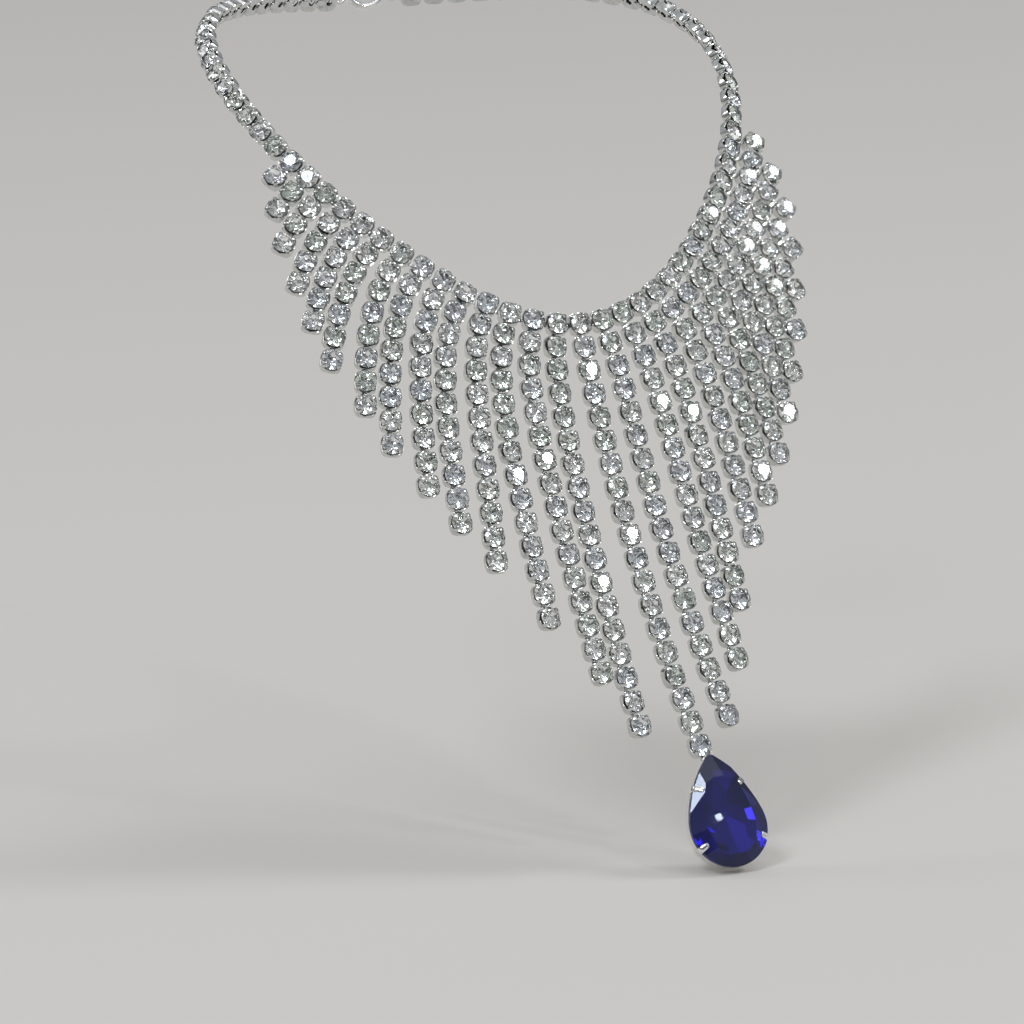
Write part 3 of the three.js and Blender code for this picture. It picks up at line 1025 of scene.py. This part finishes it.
def clear_glass_material():
    """Clear lead glass that varies a little from stone to stone."""
    material, tree, shader = new_material("clear_glass")
    shader.inputs["Transmission Weight"].default_value = 1
    shader.inputs["IOR"].default_value = 1.6
    colour = ramp(
        tree,
        shade_attribute(tree),
        (0.0, (0.97, 1.0, 0.98)),
        (0.5, (1.0, 1.0, 1.0)),
        (1.0, (0.98, 0.99, 1.0)),
    )
    tree.links.new(colour, shader.inputs["Base Color"])
    tree.links.new(spread(tree, noise(tree, 1400, 2), 0.0, 0.025), shader.inputs["Roughness"])
    return material


def silver_foil_material():
    """The mirror foil behind a clear stone, with greyer patches."""
    material, tree, shader = new_material("silver_foil")
    shader.inputs["Metallic"].default_value = 1
    colour = ramp(
        tree,
        shade_attribute(tree),
        (0.0, (0.84, 0.86, 0.83)),
        (0.5, (0.94, 0.94, 0.93)),
        (1.0, (0.85, 0.87, 0.89)),
    )
    tree.links.new(colour, shader.inputs["Base Color"])
    tree.links.new(spread(tree, noise(tree, 1800, 2), 0.04, 0.12), shader.inputs["Roughness"])
    return material


def blue_glass_material():
    """Sapphire-blue glass, a little uneven in depth of colour."""
    material, tree, shader = new_material("blue_glass")
    shader.inputs["Transmission Weight"].default_value = 1
    shader.inputs["IOR"].default_value = 1.6
    shader.inputs["Specular Tint"].default_value = (0.8, 0.88, 1.0, 1)
    colour = ramp(
        tree, noise(tree, 60, 2), (0.35, (0.038, 0.035, 0.28)), (0.65, (0.046, 0.037, 0.32))
    )
    tree.links.new(colour, shader.inputs["Base Color"])
    tree.links.new(spread(tree, noise(tree, 300, 3), 0.0, 0.012), shader.inputs["Roughness"])
    return material


def blue_foil_material():
    """The foil behind the pear, tinted blue and brushed in patches."""
    material, tree, shader = new_material("blue_foil")
    shader.inputs["Metallic"].default_value = 0.75
    colour = ramp(tree, noise(tree, 90, 2), (0.35, (0.23, 0.21, 0.6)), (0.65, (0.26, 0.22, 0.65)))
    tree.links.new(colour, shader.inputs["Base Color"])
    tree.links.new(spread(tree, noise(tree, 240, 2), 0.02, 0.07), shader.inputs["Roughness"])
    return material


# ------------------------------------------------------------------ stage and light

FLOOR_RADIUS = 6.0
FLOOR_GAP = 0.0005
FLOOR_CORNERS = 96
FLOOR_COLOUR = (0.57, 0.548, 0.516)
FLOOR_ROUGHNESS = 0.9

# The room goes from low to high with height, unevenly.
ROOM_LOW = (0.1, 0.103, 0.107)
ROOM_HIGH = (0.52, 0.535, 0.56)
ROOM_PATCHES = 1.6  # scale of the noise that makes it uneven
ROOM_HEIGHT_SHARE = 0.5  # how much height counts against the noise
ROOM_STOPS = (0.45, 0.85)  # where low ends and high begins

LIGHT_DISTANCE = 3.0

# name, shape, heading and rise in degrees, size in metres, watts, colour; every light faces the
# necklace. The spark lamp is nearly a point, and makes the small glint on the pear's table.
LIGHTS = (
    ("left_window", "DISK", -57.7, 47.7, 0.84, 26, (0.9, 0.94, 1.0)),
    ("right_window", "DISK", 82.5, 40.0, 0.84, 21, (0.97, 0.99, 1.0)),
    ("ceiling", "DISK", 27.0, 77.0, 3.0, 15, (1.0, 0.99, 0.97)),
    ("side_lamp", "DISK", -34.0, 25.0, 0.5, 5, (1.0, 0.98, 0.95)),
    ("front_lamp", "DISK", 32.0, 40.0, 0.22, 5.5, (1.0, 0.99, 0.98)),
    ("back_lamp", "DISK", -127.0, 36.0, 0.7, 7, (1.0, 0.98, 0.95)),
    ("spark_lamp", "SQUARE", 29.77, 30.93, 0.004, 0.0009, (0.95, 0.97, 1.0)),
)


def add_floor():
    bm = bmesh.new()
    bmesh.ops.create_circle(bm, cap_ends=True, radius=FLOOR_RADIUS, segments=FLOOR_CORNERS)
    data = bpy.data.meshes.new("floor")
    bm.to_mesh(data)
    bm.free()
    floor = bpy.data.objects.new("floor", data)
    bpy.context.scene.collection.objects.link(floor)
    floor.location.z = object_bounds()[0].z - FLOOR_GAP
    material, _, shader = new_material("floor")
    shader.inputs["Base Color"].default_value = (*FLOOR_COLOUR, 1)
    shader.inputs["Roughness"].default_value = FLOOR_ROUGHNESS
    data.materials.append(material)


def add_lights():
    """The lamps and windows, and the pale room that the metal and the stones mirror."""
    for name, shape, heading, rise, size, watts, colour in LIGHTS:
        data = bpy.data.lights.new(name, "AREA")
        data.shape = shape
        data.size = size
        data.energy = watts
        data.color = colour
        light = bpy.data.objects.new(name, data)
        bpy.context.scene.collection.objects.link(light)
        away = facing(heading, rise)
        light.location = away * LIGHT_DISTANCE
        light.rotation_euler = away.to_track_quat("Z", "Y").to_euler()
    world = bpy.data.worlds.new("world")
    bpy.context.scene.world = world
    world.use_nodes = True
    tree = world.node_tree
    coordinates = tree.nodes.new("ShaderNodeTexCoord")
    direction = tree.nodes.new("ShaderNodeSeparateXYZ")
    tree.links.new(coordinates.outputs["Generated"], direction.inputs["Vector"])
    height = tree.nodes.new("ShaderNodeMath")
    height.operation = "MULTIPLY_ADD"
    tree.links.new(direction.outputs["Z"], height.inputs[0])
    height.inputs[1].default_value = ROOM_HEIGHT_SHARE
    tree.links.new(noise(tree, ROOM_PATCHES, 1, "Generated"), height.inputs[2])
    low, high = ROOM_STOPS
    room = ramp(tree, height.outputs["Value"], (low, ROOM_LOW), (high, ROOM_HIGH))
    tree.links.new(room, tree.nodes["Background"].inputs["Color"])


# ------------------------------------------------------------------ necklace

add_camera()
cup_metals = [
    silver_material("cup_silver", (0.55, 0.56, 0.53), (0.7, 0.71, 0.7), 0.12),
    # The second metal is a painted shade: dark grey on the insides of the cups, where the stones
    # shade them, so dark gaps show round each stone.
    silver_material("cup_inside_painted_shade", (0.1, 0.1, 0.09), (0.17, 0.17, 0.16), 0.3),
]
clear = clear_glass_material()
foil = silver_foil_material()
add_neck(cup_metals, clear, foil)
add_fringe(cup_metals, clear, foil)
plate = silver_material("plate_silver", (0.78, 0.77, 0.74), (0.92, 0.92, 0.91), 0.09)
add_drop(plate, blue_glass_material(), blue_foil_material())
add_clasp(plate)
add_floor()
add_lights()
bpy.context.scene.view_settings.view_transform = "Standard"
